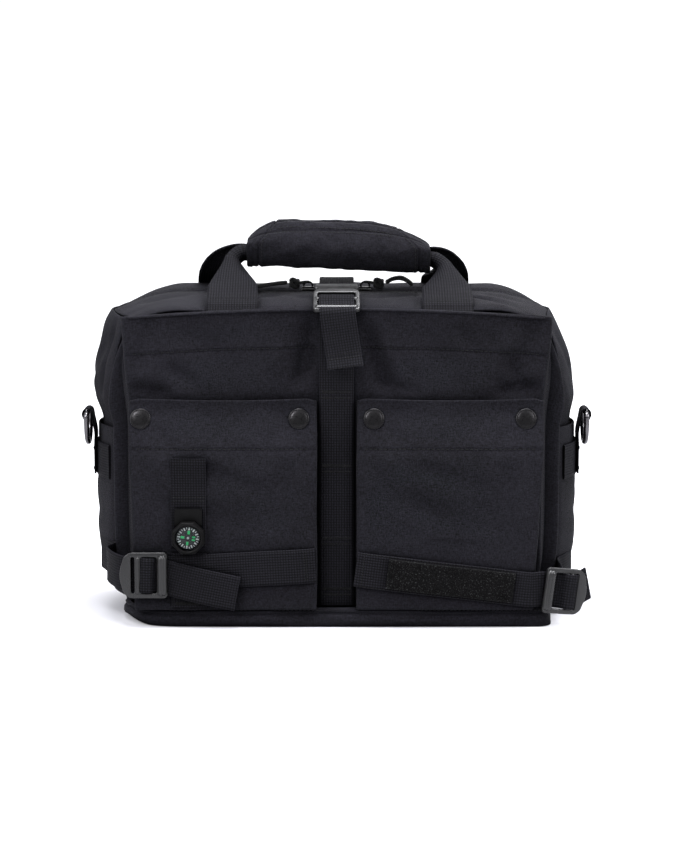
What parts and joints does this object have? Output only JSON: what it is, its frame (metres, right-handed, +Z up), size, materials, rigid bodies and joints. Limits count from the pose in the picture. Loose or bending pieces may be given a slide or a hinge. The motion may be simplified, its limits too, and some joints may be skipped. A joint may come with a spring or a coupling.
{
  "type": "flight bag",
  "caption": "Soft black crew bag with a padded wrap grip, twin-slider zip, buckled top strap, two snap-fastened patch pockets, adjustable lower straps, side D-rings and a small dial compass.",
  "frame": {"origin": "on the flat underside of the base, below the middle of the bag", "axes": "+Z up, front of the bag faces -Y, +X to the right as seen from the front"},
  "size_m": [0.3738, 0.1452, 0.2861],
  "materials": {
    "body_fabric": "coated woven nylon, charcoal black, matte",
    "webbing": "ribbed nylon webbing, black, matte with a faint sheen",
    "zipper_tape": "fine woven zip tape, black",
    "cord": "braided nylon cord, black",
    "hook_loop": "dense loop pile, deep black",
    "buckle_plastic": "moulded acetal, black, satin",
    "compass_case": "moulded, black, satin",
    "compass_dial": "printed dial, black with pale and green marks",
    "compass_lens": "clear",
    "snap_metal": "blackened steel, satin",
    "ring_metal": "gunmetal plating, polished",
    "slider_metal": "black enamel",
    "stiffener": "plain board"
  },
  "bodies": {
    "bag": {"anchor_left": "webbing", "anchor_right": "webbing", "back_panel": "body_fabric", "base_board": "stiffener", "base_panel": "body_fabric", "buckle_female": "buckle_plastic", "center_webbing": "webbing", "compass_webbing_lower": "webbing", "gusset_left": "body_fabric", "gusset_right": "body_fabric", "hook_loop_strip": "hook_loop", "inner_front_panel": "body_fabric", "ladder_left": "buckle_plastic", "ladder_right": "buckle_plastic", "pocket_left_base": "body_fabric", "pocket_right_base": "body_fabric", "ring_loop_left": "webbing", "ring_loop_right": "webbing", "side_band_left": "webbing", "side_band_right": "webbing", "side_pocket_left": "body_fabric", "side_pocket_right": "body_fabric", "slip_pocket_panel": "body_fabric", "snap_stud_1": "snap_metal", "snap_stud_2": "snap_metal", "snap_stud_3": "snap_metal", "snap_stud_4": "snap_metal", "strap_left": "webbing", "strap_right": "webbing", "top_panel_front": "body_fabric", "top_panel_rear": "body_fabric", "top_strap": "webbing", "zipper_tape_front": "zipper_tape", "zipper_tape_rear": "zipper_tape"},
    "pocket_left": {"pocket_left_front": "body_fabric", "snap_cap_1": "snap_metal", "snap_cap_2": "snap_metal", "compass_webbing_upper": "webbing", "compass_case": "compass_case", "compass_lens": "compass_lens"},
    "pocket_right": {"pocket_right_front": "body_fabric", "snap_cap_3": "snap_metal", "snap_cap_4": "snap_metal"},
    "compass_card": {"compass_dial": "compass_dial"},
    "buckle_plug": {"buckle_male": "buckle_plastic", "center_tail": "webbing"},
    "prong_left": {"buckle_prong_left": "buckle_plastic"},
    "prong_right": {"buckle_prong_right": "buckle_plastic"},
    "front_handle": {"handle_front": "webbing", "grip_core": "body_fabric"},
    "grip_cover": {"grip_flap": "body_fabric"},
    "rear_handle": {"handle_rear": "webbing"},
    "zip_left": {"zip_slider_left": "slider_metal", "zip_knot_left": "cord", "zip_cord_left": "cord"},
    "zip_right": {"zip_slider_right": "slider_metal", "zip_knot_right": "cord", "zip_cord_right": "cord"},
    "ring_left": {"d_ring_left": "ring_metal"},
    "ring_right": {"d_ring_right": "ring_metal"}
  },
  "joints": [
    {"name": "pocket_left_open", "type": "hinge", "parent": "bag", "child": "pocket_left", "pos_m": [-0.0806, -0.07, 0.0586], "axis": [1, 0, 0], "range_deg": [0, 10]},
    {"name": "pocket_right_open", "type": "hinge", "parent": "bag", "child": "pocket_right", "pos_m": [0.0806, -0.07, 0.0586], "axis": [1, 0, 0], "range_deg": [0, 10]},
    {"name": "compass_turn", "type": "hinge", "parent": "pocket_left", "child": "compass_card", "pos_m": [-0.105, -0.0782, 0.0665], "axis": [0, -1, 0], "continuous": true},
    {"name": "buckle_release", "type": "slide", "parent": "bag", "child": "buckle_plug", "axis": [0, -1, 0], "range_m": [0, 0.022]},
    {"name": "prong_left_squeeze", "type": "hinge", "parent": "buckle_plug", "child": "prong_left", "pos_m": [-0.0071, -0.043, 0.2376], "axis": [0, 0, -1], "range_deg": [0, 8], "stiffness_Nm_per_rad": 0.1},
    {"name": "prong_right_squeeze", "type": "hinge", "parent": "buckle_plug", "child": "prong_right", "pos_m": [0.0071, -0.043, 0.2376], "axis": [0, 0, 1], "range_deg": [0, 8]},
    {"name": "front_handle_swing", "type": "hinge", "parent": "bag", "child": "front_handle", "pos_m": [0, -0.041, 0.23], "axis": [1, 0, 0], "range_deg": [0, 110]},
    {"name": "grip_open", "type": "hinge", "parent": "front_handle", "child": "grip_cover", "pos_m": [0.0015, -0.00439, 0.28474], "axis": [-0.9994, 0, 0.0349], "range_deg": [0, 110]},
    {"name": "rear_handle_swing", "type": "hinge", "parent": "bag", "child": "rear_handle", "pos_m": [0, 0.05, 0.233], "axis": [-1, 0, 0], "range_deg": [0, 115]},
    {"name": "zip_left_open", "type": "slide", "parent": "bag", "child": "zip_left", "axis": [-1, 0, 0], "range_m": [0, 0.084]},
    {"name": "zip_right_open", "type": "slide", "parent": "bag", "child": "zip_right", "axis": [1, 0, 0], "range_m": [0, 0.084]},
    {"name": "ring_left_swing", "type": "hinge", "parent": "bag", "child": "ring_left", "pos_m": [-0.183, 0.002, 0.1455], "axis": [0, 1, 0], "range_deg": [0, 120]},
    {"name": "ring_right_swing", "type": "hinge", "parent": "bag", "child": "ring_right", "pos_m": [0.183, 0.002, 0.1455], "axis": [0, -1, 0], "range_deg": [0, 120]}
  ],
  "couplings": [
    {"joint": "prong_right_squeeze", "follows": "prong_left_squeeze", "ratio": 1}
  ]
}
